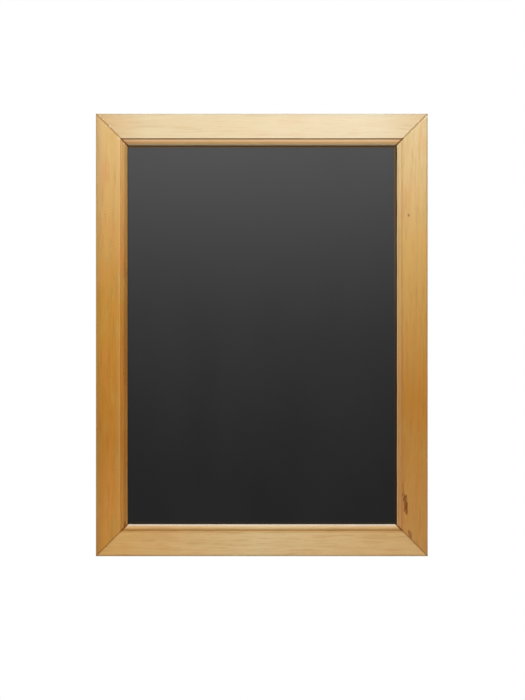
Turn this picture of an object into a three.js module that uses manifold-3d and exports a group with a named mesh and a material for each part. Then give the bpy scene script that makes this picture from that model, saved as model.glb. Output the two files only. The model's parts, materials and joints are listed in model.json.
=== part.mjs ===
// Wall chalkboard. A mitred pine frame, with a quirked bead along its inner edge, holds a black chalk
// sheet on a fibreboard core. Flat steel points keep the panel in the rebate, steel V-nails
// pull the mitres together, and two D-ring hangers and four rubber bumpers sit on the back.
//
// Millimetres. +X is right and +Z is up, the board faces -Y, and the wall is the plane y = 0.
// The origin is on the wall, midway between the two wall hooks.

import * as THREE from "three";
import { mergeVertices } from "three/addons/utils/BufferGeometryUtils.js";
import Module from "manifold-3d";

const wasm = await Module();
wasm.setup();

// Frame
const boardWidth = 600;
const boardHeight = 800;
const railWidth = 57; // from the outer edge to the edge of the writing area
const railDepth = 18; // from the back of the frame to its front face
const arrisRadius = 4; // round of the outer front edge
const backChamfer = 0.8;
const quirkWidth = 2; // the narrow channel between the flat face and the bead
const quirkDepth = 2.4;
const quirkArris = 0.5;
const beadWidth = 11; // from the edge of the writing area to the quirk
const beadSet = 1; // how far the crest of the bead lies below the flat face
const beadShoulder = 3; // from the quirk to the crest
const beadDrop = 6.5; // from the crest to the foot of the bead, at the edge of the writing area
const rebateWidth = 8;
const rebateDepth = 8;
const mitreGap = 0.3; // the glue line between two rails

// Panel
const chalkThickness = 0.8;
const coreThickness = 3.2;
const glueLine = 0.1;
const panelClearance = 1; // on each side of the panel in its rebate
const seatGap = 0.3; // between pieces that bear on each other

// V-nails, two across each mitre, driven from the back
const nailSteel = 0.6;
const nailHeight = 10;
const nailLeg = 4.5;
const nailLip = 1;
const nailSink = 0.4; // how far they lie below the surface
const nailEdge = 14; // from the outer edge, or from the rebate, to a V-nail

// Flat points that hold the panel in the rebate
const pointSteel = 0.5;
const pointWidth = 5;
const pointGrip = 7; // length in the wood
const pointReach = 7.5; // length over the rebate
const pointTip = 3; // length of the tapered end
const pointBlunt = 1.2; // width of the tip
const pointsAcross = 3;
const pointsUp = 4;
const pointInset = 115; // from the outer edge of the frame to the first point

// D-ring hangers, one on each stile
const hookDrop = 100; // from the top of the frame down to the wall hooks
const wireDiameter = 2.4;
const wireClearance = 0.3;
const ringWidth = 20; // between the centre lines of the ring's sides
const ringHeight = 15; // between the centre lines of its bar and the top of its bow
const ringCorner = 3;
const ringButt = 0.4; // the cut where the two ends of the wire meet
const strapSteel = 0.9;
const strapWidth = 12;
const strapFold = 0.15; // between the two leaves of the folded strap
const strapNeck = 2; // bend that brings the back leaf down to the front one
const ringStopGap = 0.3; // left where the ring comes to rest
const screwFromRing = 3.2; // clear of the lowered ring, from its wire to the edge of a screw head
const screwPitch = 15;
const strapEnd = 6; // from the lower screw to the end of the strap

// Pan-head wood screws
const screwDiameter = 3.5;
const screwLength = 12;
const screwPoint = 4;
const screwHoleGap = 0.3; // between the screw and the strap
const headDiameter = 6.8;
const headHeight = 1.9;
const headRim = 0.7; // straight edge of the head, below its dome
const domeShare = 0.9; // share of the head's radius at which the dome bends over
const recessSpan = 3.6;
const recessWidth = 0.9;
const recessDepth = 1.2;

// Rubber bumpers
const bumperDiameter = 12;
const bumperFace = 8; // diameter of the flat that meets the wall
const bumperBase = 1.2; // straight side at the foot
const bumperRound = 1; // round of the rim
const bumperInset = 62; // from the side of the frame to the middle of a bumper

const wallClearance = 0.35; // between the hangers and the wall
const pocketGap = 0.3; // room in the wood around each fastener
const overcut = 1; // how far a cutter passes the surface that it opens

// Sizes that follow from these
const backWidth = railWidth - rebateWidth; // the flat back of a rail
const panelThickness = chalkThickness + glueLine + coreThickness;
const panelWidth = boardWidth - 2 * (backWidth + panelClearance);
const panelHeight = boardHeight - 2 * (backWidth + panelClearance);
const wireRadius = wireDiameter / 2;
const loopRadius = wireRadius + wireClearance + strapSteel / 2; // centre line of the strap round the wire
const leafStack = 2 * strapSteel + strapFold;
const pivotLift = seatGap + strapSteel / 2 + loopRadius; // from the back of the frame to the ring's axis
const loopTop = pivotLift + loopRadius + strapSteel / 2;
const headSeat = seatGap + leafStack + seatGap; // from the back of the frame to the underside of a screw head
const headTop = headSeat + headHeight;
const wallGap = Math.max(loopTop, headTop) + wallClearance;
const ringLean = Math.asin((pivotLift - wireRadius - ringStopGap) / ringHeight);
const ringPivotDrop = Math.cos(ringLean) * (ringHeight - wireRadius); // from the wall hook down to the axis
const firstScrew = ringHeight + wireRadius + screwFromRing + headDiameter / 2;
const strapLength = firstScrew + screwPitch + strapEnd;
const hangerInset = backWidth / 2; // from the side of the frame to the middle of a hanger

// Finishes
const finish = (color, roughness, metalness) => new THREE.MeshStandardMaterial({ color, roughness, metalness });
const palePine = finish("#ead6ae", 0.45, 0);
const honeyPine = finish("#c9924f", 0.45, 0);
const chalkBlack = finish("#2b2b2c", 0.75, 0);
const fibreboard = finish("#7a5a3c", 0.8, 0);
const zincSteel = finish("#b4b6b8", 0.4, 1);
const rubber = finish("#1d1d1e", 0.85, 0);

const sameSpot = 1e-4; // points nearer than this are one
const axisX = new THREE.Vector3(1, 0, 0);
const axisY = new THREE.Vector3(0, 1, 0);
const axisZ = new THREE.Vector3(0, 0, 1);

// Solids for cuts: a closed mesh in the frame that the matrix gives, and back again
function solidOf(geometry, matrix = new THREE.Matrix4()) {
  const bare = new THREE.BufferGeometry();
  const source = geometry.index ? geometry.toNonIndexed() : geometry;
  bare.setAttribute("position", source.getAttribute("position").clone());
  const merged = mergeVertices(bare.applyMatrix4(matrix), sameSpot);
  const corners = merged.index.array;
  const faces = [];
  for (let i = 0; i < corners.length; i += 3) {
    const [a, b, c] = corners.slice(i, i + 3);
    if (a !== b && b !== c && c !== a) faces.push(a, b, c);
  }
  const vertProperties = merged.getAttribute("position").array;
  return new wasm.Manifold(new wasm.Mesh({ numProp: 3, vertProperties, triVerts: new Uint32Array(faces) }));
}

function geometryOf(solid) {
  const { vertProperties, triVerts } = solid.getMesh();
  const geometry = new THREE.BufferGeometry();
  geometry.setAttribute("position", new THREE.BufferAttribute(vertProperties, 3));
  geometry.setIndex(new THREE.BufferAttribute(triVerts, 1));
  geometry.computeVertexNormals();
  return geometry;
}

// A prism of the shape, whose x, y and depth are turned to the three given axes
function prism(shape, depth, x, y, z, curveSegments = 8) {
  const geometry = new THREE.ExtrudeGeometry(shape, { depth, curveSegments, bevelEnabled: false });
  return geometry.applyMatrix4(new THREE.Matrix4().makeBasis(x, y, z));
}

// The outline of a strip of sheet metal bent along a line of points
function stripShape(points, thickness) {
  const line = points.filter((point, i) => i === 0 || point.distanceTo(points[i - 1]) > sameSpot);
  const side = (sign) =>
    line.map((point, i) => {
      const before = line[Math.max(i - 1, 0)];
      const after = line[Math.min(i + 1, line.length - 1)];
      const into = point.clone().sub(before).normalize();
      const out = after.clone().sub(point).normalize();
      const along = into.add(out).normalize();
      const bend = i > 0 && i < line.length - 1 ? along.dot(out) : 1;
      const reach = (sign * thickness) / 2 / bend;
      return new THREE.Vector2(point.x - along.y * reach, point.y + along.x * reach);
    });
  return new THREE.Shape([...side(-1), ...side(1).reverse()]);
}

function piece(name, geometry, material, holder) {
  const mesh = new THREE.Mesh(geometry, material);
  mesh.name = name;
  holder.add(mesh);
  return mesh;
}

function groupAt(holder, x, y, z, turn = 0) {
  const group = new THREE.Group();
  group.position.set(x, y, z);
  group.rotation.y = turn;
  holder.add(group);
  return group;
}

// Moulding: x runs from the outer edge inwards, y from the back to the front
function mouldingShape() {
  const sight = railWidth;
  const quirkInner = sight - beadWidth;
  const quirkOuter = quirkInner - quirkWidth;
  const quirkFloor = railDepth - quirkDepth;
  const crest = quirkInner + beadShoulder;
  const beadTop = railDepth - beadSet;
  const beadFoot = beadTop - beadDrop;

  const shape = new THREE.Shape();
  shape.moveTo(backChamfer, 0);
  shape.lineTo(backWidth, 0);
  shape.lineTo(backWidth, rebateDepth);
  shape.lineTo(sight, rebateDepth);
  shape.lineTo(sight, beadFoot);
  shape.absellipse(crest, beadFoot, sight - crest, beadDrop, 0, Math.PI / 2, false);
  shape.absellipse(crest, quirkFloor, beadShoulder, beadTop - quirkFloor, Math.PI / 2, Math.PI, false);
  shape.lineTo(quirkOuter, quirkFloor);
  shape.lineTo(quirkOuter, railDepth - quirkArris);
  shape.quadraticCurveTo(quirkOuter, railDepth, quirkOuter - quirkArris, railDepth);
  shape.lineTo(arrisRadius, railDepth);
  shape.absarc(arrisRadius, railDepth - arrisRadius, arrisRadius, Math.PI / 2, Math.PI, false);
  shape.lineTo(0, backChamfer);
  shape.closePath();
  return shape;
}

// A length of the moulding along x with both ends mitred. z runs from its outer edge inwards.
function railGeometry(length) {
  const geometry = prism(mouldingShape(), 1, axisZ, axisY.clone().negate(), axisX);
  const setback = mitreGap / Math.SQRT2;
  const position = geometry.getAttribute("position");
  for (let i = 0; i < position.count; i++) {
    const end = position.getX(i) > 0.5 ? 1 : -1;
    position.setX(i, end * (length / 2 - setback - position.getZ(i)));
  }
  return geometry;
}

// A V-nail in plan: its point towards the corner on -z, its legs along the two rails, its ends turned out
function nailGeometry(grow) {
  const line = [-1, 1].map((side) => {
    const foot = new THREE.Vector2(side, 1).multiplyScalar(nailLeg / Math.SQRT2);
    const lip = foot.clone().add(new THREE.Vector2(side * (nailLip + grow), 0));
    return side < 0 ? [lip, foot] : [foot, lip];
  });
  const shape = stripShape([...line[0], new THREE.Vector2(0, 0), ...line[1]], nailSteel + 2 * grow);
  const top = grow > 0 ? overcut : -nailSink;
  const foot = nailSink + nailHeight + grow;
  return prism(shape, foot + top, axisX, axisZ, axisY.clone().negate()).translate(0, top, 0);
}

// A flat point in plan: its tip in the wood towards -z, its square end over the panel
function pointGeometry(grow) {
  const half = pointWidth / 2 + grow;
  const blunt = pointBlunt / 2 + grow;
  const tip = -pointGrip - grow;
  const shape = new THREE.Shape();
  shape.moveTo(-half, pointReach);
  shape.lineTo(-half, tip + pointTip);
  shape.lineTo(-blunt, tip);
  shape.lineTo(blunt, tip);
  shape.lineTo(half, tip + pointTip);
  shape.lineTo(half, pointReach);
  shape.closePath();
  const thickness = pointSteel + 2 * grow;
  return prism(shape, thickness, axisX, axisZ, axisY.clone().negate()).translate(0, thickness / 2, 0);
}

// The strap seen from its side: up the wood, round the wire, and down over itself
function strapSide() {
  const front = strapSteel / 2;
  const back = front + strapSteel + strapFold;
  const neck = loopRadius + strapNeck;
  const offset = back + strapNeck - front - loopRadius;
  const neckDrop = Math.sqrt(neck * neck - offset * offset);
  const turn = Math.atan2(-neckDrop, offset);
  const line = new THREE.Path();
  line.moveTo(front, -strapLength);
  line.lineTo(front, 0);
  line.absarc(front + loopRadius, 0, loopRadius, Math.PI, turn, true);
  line.absarc(back + strapNeck, -neckDrop, strapNeck, turn + Math.PI, Math.PI, false);
  line.lineTo(back, -strapLength);
  return stripShape(line.getPoints(12), strapSteel);
}

// y rises from the wood, z is up, and the ring's axis is at z = 0
function strapGeometry() {
  const half = strapWidth / 2;
  const sheet = prism(strapSide(), strapWidth, axisY, axisZ, axisX).translate(-half, 0, 0);
  const outline = new THREE.Shape();
  outline.moveTo(half, loopTop);
  outline.lineTo(-half, loopTop);
  outline.lineTo(-half, -strapLength + half);
  outline.absarc(0, -strapLength + half, half, Math.PI, 2 * Math.PI, false);
  outline.closePath();
  const plan = prism(outline, 3 * loopTop, axisX, axisZ, axisY.clone().negate(), 10).translate(0, 2 * loopTop, 0);
  let strap = solidOf(sheet).intersect(solidOf(plan));
  for (const drop of [firstScrew, firstScrew + screwPitch]) {
    const radius = screwDiameter / 2 + screwHoleGap;
    const hole = new THREE.CylinderGeometry(radius, radius, 4 * leafStack, 20).translate(0, leafStack, -drop);
    strap = strap.subtract(solidOf(hole));
  }
  return geometryOf(strap);
}

// A flat line bent in the plane y = 0
class BentWire extends THREE.Curve {
  constructor(path) {
    super();
    this.path = path;
  }

  getPoint(t) {
    const { x, y } = this.path.getPoint(t);
    return new THREE.Vector3(x, 0, y);
  }
}

// One length of wire from the cut in the middle of the bar, round the bow and back to the cut
function ringGeometry() {
  const half = ringWidth / 2;
  const side = ringHeight - half; // where the bow begins
  const line = new THREE.Path();
  line.moveTo(ringButt / 2, 0);
  line.lineTo(half - ringCorner, 0);
  line.absarc(half - ringCorner, ringCorner, ringCorner, -Math.PI / 2, 0, false);
  line.lineTo(half, side);
  line.absarc(0, side, half, 0, Math.PI, false);
  line.lineTo(-half, ringCorner);
  line.absarc(-half + ringCorner, ringCorner, ringCorner, Math.PI, 1.5 * Math.PI, false);
  line.lineTo(-ringButt / 2, 0);
  const section = new THREE.Shape().absarc(0, 0, wireRadius, 0, 2 * Math.PI, false);
  return new THREE.ExtrudeGeometry(section, {
    steps: 60,
    curveSegments: 5,
    bevelEnabled: false,
    extrudePath: new BentWire(line),
  });
}

// Along y, with the underside of the head at y = 0
function screwGeometry() {
  const shank = screwDiameter / 2;
  const head = headDiameter / 2;
  const profile = new THREE.Path();
  profile.moveTo(0, -screwLength);
  profile.lineTo(shank, -screwLength + screwPoint);
  profile.lineTo(shank, 0);
  profile.lineTo(head, 0);
  profile.lineTo(head, headRim);
  profile.quadraticCurveTo(head * domeShare, headHeight, 0, headHeight);
  const body = new THREE.LatheGeometry(profile.getPoints(6), 20);
  let screw = solidOf(body);
  for (const turn of [0, Math.PI / 2]) {
    const slot = new THREE.BoxGeometry(recessSpan, recessDepth + overcut, recessWidth);
    slot.rotateY(turn).translate(0, headHeight + (overcut - recessDepth) / 2, 0);
    screw = screw.subtract(solidOf(slot));
  }
  return geometryOf(screw);
}

function screwPocket() {
  const radius = screwDiameter / 2 + pocketGap;
  const length = screwLength - headSeat + pocketGap + overcut;
  return new THREE.CylinderGeometry(radius, radius, length, 16).translate(0, overcut - length / 2, 0);
}

// A tapered foot with a rounded rim, glued by its wide end and flat where it meets the wall
function bumperGeometry() {
  const foot = bumperDiameter / 2;
  const face = bumperFace / 2;
  const height = wallGap - seatGap;
  const taper = Math.atan2(foot - face - bumperRound / 2, height - bumperBase);
  const profile = new THREE.Path();
  profile.moveTo(0, 0);
  profile.lineTo(foot, 0);
  profile.lineTo(foot, bumperBase);
  profile.lineTo(face + bumperRound / 2 + bumperRound * Math.tan(taper), height - bumperRound);
  profile.quadraticCurveTo(face + bumperRound / 2, height, face, height);
  profile.lineTo(0, height);
  return new THREE.LatheGeometry(profile.getPoints(4), 28);
}

// The board's own frame: its origin is in the middle of the frame's back
const model = new THREE.Group();
const board = groupAt(model, 0, -wallGap, hookDrop - boardHeight / 2);
const pockets = []; // room in the wood for the fasteners

function fastener(name, geometry, pocket, holder) {
  piece(name, geometry, zincSteel, holder);
  pockets.push({ geometry: pocket, holder });
}

// Four sides, each with its rail and the points along it. In a side's group x runs along the rail and
// z inwards from its outer edge.
const across = { length: boardWidth, points: pointsAcross, out: boardHeight / 2, material: palePine };
const upright = { length: boardHeight, points: pointsUp, out: boardWidth / 2, material: honeyPine };
const sides = [
  { side: "bottom", rail: "bottom_rail", turn: 0, ...across },
  { side: "left", rail: "left_stile", turn: Math.PI / 2, ...upright },
  { side: "top", rail: "top_rail", turn: Math.PI, ...across },
  { side: "right", rail: "right_stile", turn: -Math.PI / 2, ...upright },
];

const rails = sides.map(({ side, rail, turn, length, points, out, material }) => {
  const holder = groupAt(board, -Math.sin(turn) * out, 0, -Math.cos(turn) * out, turn);
  const pitch = (length - 2 * pointInset) / (points - 1);
  const lift = -rebateDepth + panelThickness + 2 * seatGap + pointSteel / 2;
  for (let i = 0; i < points; i++) {
    const spot = groupAt(holder, pointInset - length / 2 + i * pitch, lift, backWidth);
    fastener(`panel_point_${side}_${i + 1}`, pointGeometry(0), pointGeometry(pocketGap), spot);
  }
  return piece(rail, railGeometry(length), material, holder);
});

// Panel, seated on the lip of the rebate
const panelFront = -rebateDepth + seatGap;
piece("chalk_face", new THREE.BoxGeometry(panelWidth, chalkThickness, panelHeight), chalkBlack, board)
  .position.setY(panelFront + chalkThickness / 2);
piece("core_board", new THREE.BoxGeometry(panelWidth, coreThickness, panelHeight), fibreboard, board)
  .position.setY(panelFront + chalkThickness + glueLine + coreThickness / 2);

// V-nails and bumpers at the four corners
for (const [end, up] of [["bottom", -1], ["top", 1]]) {
  for (const [hand, right] of [["left", -1], ["right", 1]]) {
    for (const [place, inset] of [["outer", nailEdge], ["inner", backWidth - nailEdge]]) {
      const x = right * (boardWidth / 2 - inset);
      const z = up * (boardHeight / 2 - inset);
      const spot = groupAt(board, x, 0, z, Math.atan2(-right, -up));
      const name = `corner_nail_${end}_${hand}_${place}`;
      fastener(name, nailGeometry(0), nailGeometry(pocketGap), spot);
    }
    const side = right * (boardWidth / 2 - bumperInset);
    const foot = groupAt(board, side, 0, up * (boardHeight - backWidth) / 2);
    piece(`bumper_${end}_${hand}`, bumperGeometry(), rubber, foot).position.setY(seatGap);
  }
}

// Hangers
for (const [hand, right] of [["left", -1], ["right", 1]]) {
  const height = boardHeight / 2 - hookDrop - ringPivotDrop;
  const hanger = groupAt(board, right * (boardWidth / 2 - hangerInset), 0, height);
  piece(`${hand}_hanger_strap`, strapGeometry(), zincSteel, hanger).position.setY(seatGap);
  const ring = piece(`${hand}_hanger_ring`, ringGeometry(), zincSteel, hanger);
  ring.position.setY(pivotLift);
  ring.rotation.x = ringLean;
  for (const [place, drop] of [["upper", firstScrew], ["lower", firstScrew + screwPitch]]) {
    const spot = groupAt(hanger, 0, 0, -drop);
    const screw = screwGeometry().translate(0, headSeat, 0);
    fastener(`${hand}_hanger_screw_${place}`, screw, screwPocket(), spot);
  }
}

// Room for the fasteners is cut in whichever rails they enter
model.updateMatrixWorld(true);
for (const rail of rails) {
  let wood = solidOf(rail.geometry, rail.matrixWorld);
  for (const { geometry, holder } of pockets) wood = wood.subtract(solidOf(geometry, holder.matrixWorld));
  rail.geometry = geometryOf(wood).applyMatrix4(rail.matrixWorld.clone().invert());
}

export default model;
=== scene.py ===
# Wall chalkboard: a black writing surface in a mitred pine frame, with its hanging hardware on the back.
import bmesh
import bpy
import json
import math
from collections import namedtuple
from functools import partial
from mathutils import Matrix, Vector, noise


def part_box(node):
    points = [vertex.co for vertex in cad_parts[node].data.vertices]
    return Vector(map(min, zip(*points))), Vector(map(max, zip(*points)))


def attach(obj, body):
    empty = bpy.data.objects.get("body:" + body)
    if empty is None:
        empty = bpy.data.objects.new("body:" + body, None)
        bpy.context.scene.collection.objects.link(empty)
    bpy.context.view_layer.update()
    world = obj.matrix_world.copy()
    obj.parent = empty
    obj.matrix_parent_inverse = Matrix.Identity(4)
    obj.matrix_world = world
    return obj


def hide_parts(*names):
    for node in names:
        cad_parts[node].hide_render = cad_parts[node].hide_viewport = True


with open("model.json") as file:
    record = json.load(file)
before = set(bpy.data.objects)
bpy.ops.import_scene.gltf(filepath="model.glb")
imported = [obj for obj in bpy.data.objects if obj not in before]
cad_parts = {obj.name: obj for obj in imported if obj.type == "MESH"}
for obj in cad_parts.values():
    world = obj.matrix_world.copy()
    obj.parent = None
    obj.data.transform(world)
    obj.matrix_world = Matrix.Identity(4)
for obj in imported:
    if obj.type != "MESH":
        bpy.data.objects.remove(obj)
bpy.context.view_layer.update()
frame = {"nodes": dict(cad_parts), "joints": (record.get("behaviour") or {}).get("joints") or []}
cad = frame["nodes"]
mm = 0.001

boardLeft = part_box("left_stile")[0].x
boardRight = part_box("right_stile")[1].x
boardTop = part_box("top_rail")[1].z
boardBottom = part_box("bottom_rail")[0].z
boardFront, boardBack = (corner.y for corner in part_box("left_stile"))
boardWidth = boardRight - boardLeft
boardHeight = boardTop - boardBottom
middle = Vector(((boardLeft + boardRight) / 2, boardFront, (boardTop + boardBottom) / 2))
print("frame loaded,", len(cad), "nodes,", round(boardWidth, 3), "by", round(boardHeight, 3), "m")

# Camera, straight on and a little below the middle of the board
shot = {
    "pictureWidth": 525, "pictureHeight": 700,  # pixels
    "left": 95.75, "right": 427.9, "top": 113.9, "bottom": 556.0,  # the frame's edges in the picture
    "distance": 2.6,  # metres from the frame's outer edge
    "edgeDepth": 0.004,  # metres from the front face back to the widest part of the frame
}


def setCamera():
    scale = (boardWidth / (shot["right"] - shot["left"]) + boardHeight / (shot["bottom"] - shot["top"])) / 2
    aside = (shot["pictureWidth"] - shot["left"] - shot["right"]) / 2 * scale
    above = (shot["top"] + shot["bottom"] - shot["pictureHeight"]) / 2 * scale
    camera = bpy.data.cameras.new("camera")
    camera.sensor_width = 36
    camera.lens = camera.sensor_width * shot["distance"] / (shot["pictureHeight"] * scale)
    camera.clip_end = 50
    placed = bpy.data.objects.new("camera", camera)
    placed.location = (middle.x + aside, boardFront + shot["edgeDepth"] - shot["distance"], middle.z + above)
    placed.rotation_euler = (math.pi / 2, 0, 0)
    bpy.context.scene.collection.objects.link(placed)
    bpy.context.scene.camera = placed


setCamera()
print("camera set")


# Colours and shader nodes
def linear(hexColour):
    channels = [int(hexColour[i:i + 2], 16) / 255 for i in (1, 3, 5)]
    return [c / 12.92 if c <= 0.04045 else ((c + 0.055) / 1.055) ** 2.4 for c in channels] + [1.0]


def addNode(tree, kind, links=None, stops=None, **settings):
    made = tree.nodes.new("ShaderNode" + kind)
    for key, value in settings.items():
        setattr(made, key, value)
    if stops:  # the places and the greys or colours of a colour ramp
        ramp = made.color_ramp.elements
        while len(ramp) < len(stops):
            ramp.new(0.5)
        for element, (place, colour) in zip(ramp, stops):
            element.position = place
            element.color = colour if isinstance(colour, list) else [colour, colour, colour, 1]
    for socket, value in (links or {}).items():
        if isinstance(value, bpy.types.Node):
            value = value.outputs[0]
        if isinstance(value, bpy.types.NodeSocket):
            tree.links.new(value, made.inputs[socket])
        else:
            made.inputs[socket].default_value = value
    return made


def newMaterial(name):
    # the material, what adds a node to it, and each point of the piece in millimetres
    material = bpy.data.materials.new(name)
    material.use_nodes = True
    material.node_tree.nodes.clear()
    add = partial(addNode, material.node_tree)
    place = add("TexCoord").outputs["Object"]
    p = add("VectorMath", {0: place, "Scale": 1 / mm}, operation="SCALE").outputs[0]
    return material, add, p


# Meshes
def loftMesh(name, rings):
    # rings with equal numbers of points, joined in order and closed at both ends
    shape = bmesh.new()
    rows = [[shape.verts.new(point) for point in ring] for ring in rings]
    count = len(rows[0])
    for near, far in zip(rows, rows[1:]):
        for i in range(count):
            j = (i + 1) % count
            shape.faces.new((near[i], near[j], far[j], far[i]))
    shape.faces.new(list(reversed(rows[0])))
    shape.faces.new(rows[-1])
    bmesh.ops.remove_doubles(shape, verts=shape.verts, dist=1e-7)
    bmesh.ops.recalc_face_normals(shape, faces=shape.faces)
    mesh = bpy.data.meshes.new(name)
    shape.to_mesh(mesh)
    shape.free()
    return mesh


quarterTurn = Matrix.Rotation(math.pi / 2, 4, "X")  # lays an outline in x and z, with its depth along -y
sideways = Matrix(((0, 0, 1, 0), (1, 0, 0, 0), (0, 1, 0, 0), (0, 0, 0, 1)))  # and this in y and z, along x


def prismMesh(name, outline, depth, place):
    # the outline is in millimetres and lies in x and y, its depth along z, until the matrix places it
    mesh = loftMesh(name, [[(x * mm, y * mm, level * mm) for x, y in outline] for level in (0, depth)])
    mesh.transform(place)
    return mesh


def carved(mesh, cutters, operation="DIFFERENCE"):
    work = bpy.data.objects.new("work", mesh)
    tools = [bpy.data.objects.new("tool", cutter) for cutter in cutters]
    for made in (work, *tools):
        bpy.context.scene.collection.objects.link(made)
    for tool in tools:
        cut = work.modifiers.new("cut", "BOOLEAN")
        cut.object = tool
        cut.operation = operation
        cut.solver = "EXACT"
    result = bpy.data.meshes.new_from_object(work.evaluated_get(bpy.context.evaluated_depsgraph_get()))
    for made in (work, *tools):
        bpy.data.objects.remove(made)
    return result


def arc(centre, radii, start, end, steps):
    angles = [math.radians(start + (end - start) * i / steps) for i in range(steps + 1)]
    return [Vector((centre[0] + radii[0] * math.cos(a), centre[1] + radii[1] * math.sin(a))) for a in angles]


def circle(centre, radius, count):
    return arc(centre, (radius, radius), 0, 360 - 360 / count, count - 1)


def rectangle(left, low, right, high):
    return ((left, low), (right, low), (right, high), (left, high))


def roundedOutline(corners, steps):
    # each corner is x, y and the radius of its round
    outline = []
    for i, (x, y, radius) in enumerate(corners):
        here = Vector((x, y))
        if not radius:
            outline.append(here)
            continue
        before = (Vector(corners[i - 1][:2]) - here).normalized()
        after = (Vector(corners[(i + 1) % len(corners)][:2]) - here).normalized()
        half = before.angle(after) / 2
        start = here + before * radius / math.tan(half)
        end = here + after * radius / math.tan(half)
        centre = here + (before + after).normalized() * radius / math.sin(half)
        for k in range(steps + 1):
            spoke = (start - centre).normalized().slerp((end - centre).normalized(), k / steps)
            outline.append(centre + spoke * radius)
    return outline


def stripOutline(line, thickness):
    # both faces of a strip of sheet metal that is bent along a line
    faces = []
    for sign in (-1, 1):
        face = []
        for i, here in enumerate(line):
            into = (here - line[i - 1]).normalized() if i else (line[1] - here).normalized()
            out = (line[i + 1] - here).normalized() if i < len(line) - 1 else into
            along = (into + out).normalized()
            reach = sign * thickness / 2 / along.dot(out)
            face.append(Vector((here.x - along.y * reach, here.y + along.x * reach)))
        faces.append(face)
    return faces[0] + list(reversed(faces[1]))


def turned(profile, around):
    # rings round the y axis, from a profile of radius and height in millimetres
    turns = [2 * math.pi * i / around for i in range(around)]
    return [[(radius * math.cos(a) * mm, height * mm, radius * math.sin(a) * mm) for a in turns]
            for radius, height in profile]


def newPiece(name, mesh, material, body, replaced, place=None, smoothAngle=35):
    piece = bpy.data.objects.new(name, mesh)
    bpy.context.scene.collection.objects.link(piece)
    if place:
        piece.matrix_world = place
    mesh.materials.clear()
    mesh.materials.append(material)
    mesh.shade_smooth()
    mesh.set_sharp_from_angle(angle=math.radians(smoothAngle))
    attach(piece, body)
    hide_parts(replaced)
    return piece


def easeEdges(piece, width, segments=2, angle=40):
    ease = piece.modifiers.new("eased edges", "BEVEL")
    ease.width = width * mm
    ease.segments = segments
    ease.limit_method = "ANGLE"
    ease.angle_limit = math.radians(angle)
    ease.harden_normals = True


# The moulding, in millimetres: a flat face, a quirk and a bead that falls to the writing surface
moulding = {
    "width": 57, "depth": 18, "arris": 4, "backArris": 0.8, "smallArris": 0.3,
    "quirkWidth": 2, "quirkDepth": 2.4, "quirkArris": 0.5,
    "beadWidth": 10, "beadSet": 1, "beadShoulder": 3, "beadDrop": 6.5,
    "rebateWidth": 8, "rebateDepth": 8,
    "glueLine": 0.002, "mitreArris": 0.1,  # the mitres' edges are eased by sanding
    "ripple": 0.05, "rippleLength": 45, "rippleWidth": 14,  # unevenness left by sanding
    "step": 10, "endStep": 2,  # between sections along the rail, and by the mitres
    "flatFrom": 1.5, "flatStep": 5, "flatEnd": 0.4,  # which flats get points, how far apart and off the ends
}
quirkMiddle = moulding["width"] - moulding["beadWidth"] - moulding["quirkWidth"] / 2

# Lacquered pine, planed and moulded: a honey satin that glows along straight soft grain
pine = {
    "ringSpacing": 2.6,  # mm between growth rings on the face
    "pithDepth": 58,  # mm behind the back of the rail to the middle of the tree
    "wander": 5.0,  # mm that the grain strays to each side
    "waverLength": 55,  # mm along the rail in which a line of stain wavers
    "year": [(0.0, 0.0), (0.5, 0.12), (0.84, 0.9), (0.93, 1.0), (1.0, 0.0)],  # late wood through one ring
    "patterns": {  # mm along, through and across the rail, then the detail and roughness of the noise
        "stray": ((260, 60, 60), 2.0, 0.45),
        "ragged": ((7.143, 2.5, 2.5), 3.0, 0.4),  # the edges of knots and stains
        "fibre": ((40, 0.7, 0.7), 3.0, 0.6),  # fibre bundles, drawn coarse enough to show
        "fleck": ((13, 0.9, 0.9), 1.0, 0.5),  # resin canals, drawn coarse too
        "streak": ((45, 5, 3.2), 2.0, 0.5),
        "drift": ((75, 26, 21), 3.0, 0.55),
        "mitreHighlights": ((4.5455, 4.5455, 4.5455), 2.0, 0.5),
    },
    "knotParting": 0.9, "knotRagged": 3.6,  # how far grain parts round a knot, how ragged its edge is
    "knotBark": (2.85, 2.2), "knotHeart": (2.1, 1.6),  # where its edge and its paler heart begin and are full
    "curl": 0.07, "curlPitch": 5.6,  # strength and mm of the curly figure
    "glueReach": (2.7, 1.4), "mitreHighlightReach": (5.2, 4.0),  # mm from the mitre where each begins and is full
    "frontFrom": (14.5, 16.5),  # mm round the outer arris where the front's stain and painted shade begin
    "bareBack": (-1.2, -0.4), "bareShare": 0.45,  # mm from the back where the lacquer ends
    "lacquerRoughness": 0.42, "bareRoughness": 0.3, "glueRoughness": 0.4,  # the last two add to the first
    "lateTint": "#d9b988",  # what late wood does to the tone
    "orange": "#d8893f", "olive": "#c8a254",  # drifts of tone along the plank
    # the pale tone beside the top corners' mitres is a painted highlight
    "glue": "#a67a18", "mitreHighlightTone": "#f7e8c8", "bare": "#cdb48c",
    "fleckTone": "#8a5c2c", "fleckShare": 0.13, "knotTone": "#7e3a04",
}


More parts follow.
